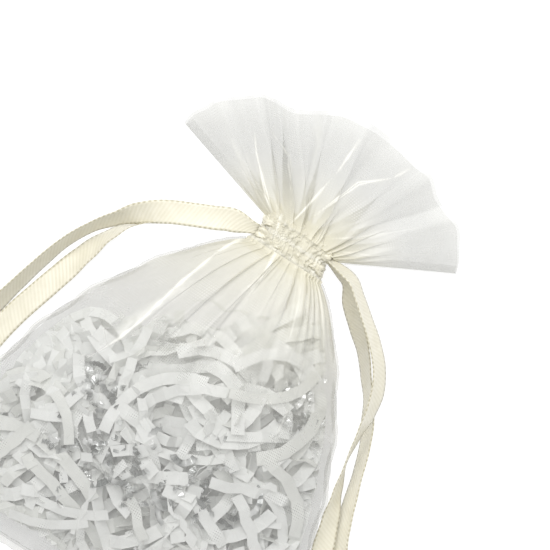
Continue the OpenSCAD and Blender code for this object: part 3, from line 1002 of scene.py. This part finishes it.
header = {"baseLeft": (-10.2, 36.6), "baseRight": (11.4, 36.0), "rise": 6.5, "drop": 3.8, "tipZ": 9.0,
          "pleats": 7, "gathers": 15, "lean": 1.25, "rows": 150, "cols": 420, "cloth": 33}


def rimAt(m):
    place = clamp(m) * (len(headerRim) - 1)
    k = min(int(place), len(headerRim) - 2)
    ends = [headerRim[max(k - 1, 0)], headerRim[k], headerRim[k + 1],
            headerRim[min(k + 2, len(headerRim) - 1)]]
    f = place - k
    return [0.5 * (2 * b + (c - a) * f + (2 * a - 5 * b + 4 * c - d) * f * f
                   + (3 * b - a - 3 * c + d) * f ** 3) for a, b, c, d in zip(*ends)]


# Soft tucks where the cloth bunches and rolls over: middle, half width, depth and side
frontTucks = [(-0.34, 0.15, 0.17, 1), (0.16, 0.14, 0.15, -1), (0.62, 0.12, 0.12, 1)]
backTucks = [(-0.58, 0.13, 0.13, -1), (-0.08, 0.15, 0.16, 1), (0.40, 0.13, 0.14, -1)]


def tucked(s, tucks, show):
    # where the cloth at s lies once tucked, and how far the tuck lifts it
    place, raised = s, 0
    for middle, half, depth, side in tucks:
        q = (s - middle) / half
        if abs(q) < 4:
            place -= show * depth * q * math.exp(-q * q / 2) * 0.6
        raised += 0.45 * side * math.tanh(1.2 * q) * math.exp(-(q / 5) ** 2)
    return clamp(place, -1, 1), raised * show


def headerFlat(t, s):
    m = (s + 1) / 2
    edge = rimAt(m)
    (lx, ly), (rx, ry) = header["baseLeft"], header["baseRight"]
    base = [lx + (rx - lx) * m, ly + (ry - ly) * m + 1.0 * (1 - s * s)]
    return base[0] + (edge[0] - base[0]) * t, base[1] + (edge[1] - base[1]) * t


def headerPoint(t, s, front):
    cut = s
    s, raised = tucked(s, frontTucks if front else backTucks, ease(0, 0.3, t))
    x, y = headerFlat(t, s)
    (ax, ay), (bx, by) = headerFlat(t, max(-1, s - 0.02)), headerFlat(t, min(1, s + 0.02))
    size = math.hypot(bx - ax, by - ay)
    along = ((bx - ax) / size, (by - ay) / size)
    seamZ = neckZ + (header["tipZ"] - neckZ) * t
    crown = 1 - abs(s) ** 4
    seed = clothSeed(front)
    fine = 1.35 * (1 - ease(0.08, 0.6, t))
    broad = (1.45 if front else 1.5) * (0.4 + 0.6 * ease(0, 0.25, t)) * (1 - 0.3 * ease(0.5, 1, t))
    wave = broad * pleat(cut, header["pleats"], seed)
    wave += fine * pleat(cut, header["gathers"], seed + 2) + raised
    wave *= 1 - abs(cut) ** 7
    if front:
        z = seamZ + 0.2 + (2.6 * (1 - t) ** 2 + header["rise"] * ease(0, 1, t)) * crown + wave
    else:
        z = seamZ - 0.2 - (2.6 * (1 - t) ** 2 + header["drop"] * ease(0, 1, t)) * crown + wave * 0.8
    slip = wave * header["lean"] * (1 - 0.8 * ease(0.35, 0.95, t))
    return (x + along[0] * slip, y + along[1] * slip, max(1.0, z))


def makeHeader(name, node, front):
    rows, cols = header["rows"], header["cols"]
    points, uvs, gathers, marks = [], [], [], []
    for i in range(rows):
        t = i / (rows - 1)
        for j in range(cols):
            s = 2 * j / (cols - 1) - 1
            reach = t * (1 if front else 1 - 0.01 * (1 + math.sin(5 * s + 1)))
            x, y, z = headerPoint(reach, s, front)
            points.append((x, y, z))
            uvs.append((s * shape["flatHalf"], t * header["cloth"]))
            # the lighter gather tint, partly painted light, fades out from the neck; the painted crease
            # highlight is a quarter as strong on the back
            gathers.append(clamp(1 - t * 1.6) ** 1.4)
            marks.append(creaseAndHighlightAt(x, y, headerCreases) * (1 if front else 0.25))
    faces = gridFaces(rows, cols)
    if not front:
        faces = [f[::-1] for f in faces]
    piece = newPiece(name, points, faces, headerCloth, uvs)
    setAttribute(piece, "gather", gathers)
    setAttribute(piece, "creaseAndHighlight", marks)
    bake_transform(piece)
    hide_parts(node)


makeHeader("headerBackCloth", "back_header", False)
makeHeader("headerFrontCloth", "front_header", True)


headerSeam = {"half": 1.15, "parts": 13, "step": 1.0, "inset": (0.35, 1.05, -0.1)}


def makeHeaderSeam(name, node, sign):
    # the band of seam allowance that lies along each edge
    line = []
    dx, dy, dz = headerSeam["inset"]
    for k in range(headerSeam["parts"] + 1):
        x, y, z = headerPoint(0.04 + 0.94 * k / headerSeam["parts"], sign, True)
        line.append((x + dx, y + dy, z + dz))
    fine, length = curvePoints(line, headerSeam["step"])
    points, uvs = [], []
    path = [p for _, p in fine]
    for k, p in enumerate(path):
        _, side, lift = bandFrame(path, k, 0)
        for j in range(5):
            s = j / 2 - 1
            points.append(p + side * s * headerSeam["half"])
            uvs.append((s * headerSeam["half"], length * k / len(path)))
    piece = newPiece(name, points, gridFaces(len(path), 5), seamCloth, uvs)
    setAttribute(piece, "gather", [0.0] * len(points))
    setAttribute(piece, "creaseAndHighlight", [0.0] * len(points))
    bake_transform(piece)
    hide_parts(node)


makeHeaderSeam("leftHeaderSeam", "left_header_seam", -1)
makeHeaderSeam("rightHeaderSeam", "right_header_seam", 1)
print("header flared")


# The stage: a glowing pale floor, an even sky and one softbox
studio = {"floorSize": 6.0, "glow": 0.86, "sky": 0.82, "key": 13.0, "keySize": 0.9,
          "keyPlace": (-0.35, 0.45, 1.1)}


def makeStudio():
    bpy.ops.object.select_all(action="DESELECT")
    bpy.ops.mesh.primitive_plane_add(size=studio["floorSize"], location=(0, 0, -0.0001))
    floor = bpy.context.object
    floor.name = "floor"
    material, tree, shader = newMaterial("paleFloor")
    shader.inputs["Base Color"].default_value = linear("#808080")
    shader.inputs["Roughness"].default_value = 0.9
    shader.inputs["Emission Color"].default_value = linear("#FFFFFF")
    shader.inputs["Emission Strength"].default_value = studio["glow"]
    floor.data.materials.append(material)
    world = bpy.data.worlds.new("studio")
    world.use_nodes = True
    world.node_tree.nodes["Background"].inputs["Color"].default_value = (1, 1, 1, 1)
    world.node_tree.nodes["Background"].inputs["Strength"].default_value = studio["sky"]
    bpy.context.scene.world = world
    light = bpy.data.lights.new("softbox", "AREA")
    light.shape = "RECTANGLE"
    light.size = studio["keySize"]
    light.size_y = studio["keySize"]
    light.energy = studio["key"]
    lamp = bpy.data.objects.new("softbox", light)
    bpy.context.scene.collection.objects.link(lamp)
    lamp.location = studio["keyPlace"]
    lamp.rotation_euler = (Vector((0, 0, 0)) - lamp.location).to_track_quat("-Z", "Y").to_euler()


makeStudio()
scene = bpy.context.scene
scene.view_settings.view_transform = "Standard"
scene.cycles.transparent_max_bounces = 48
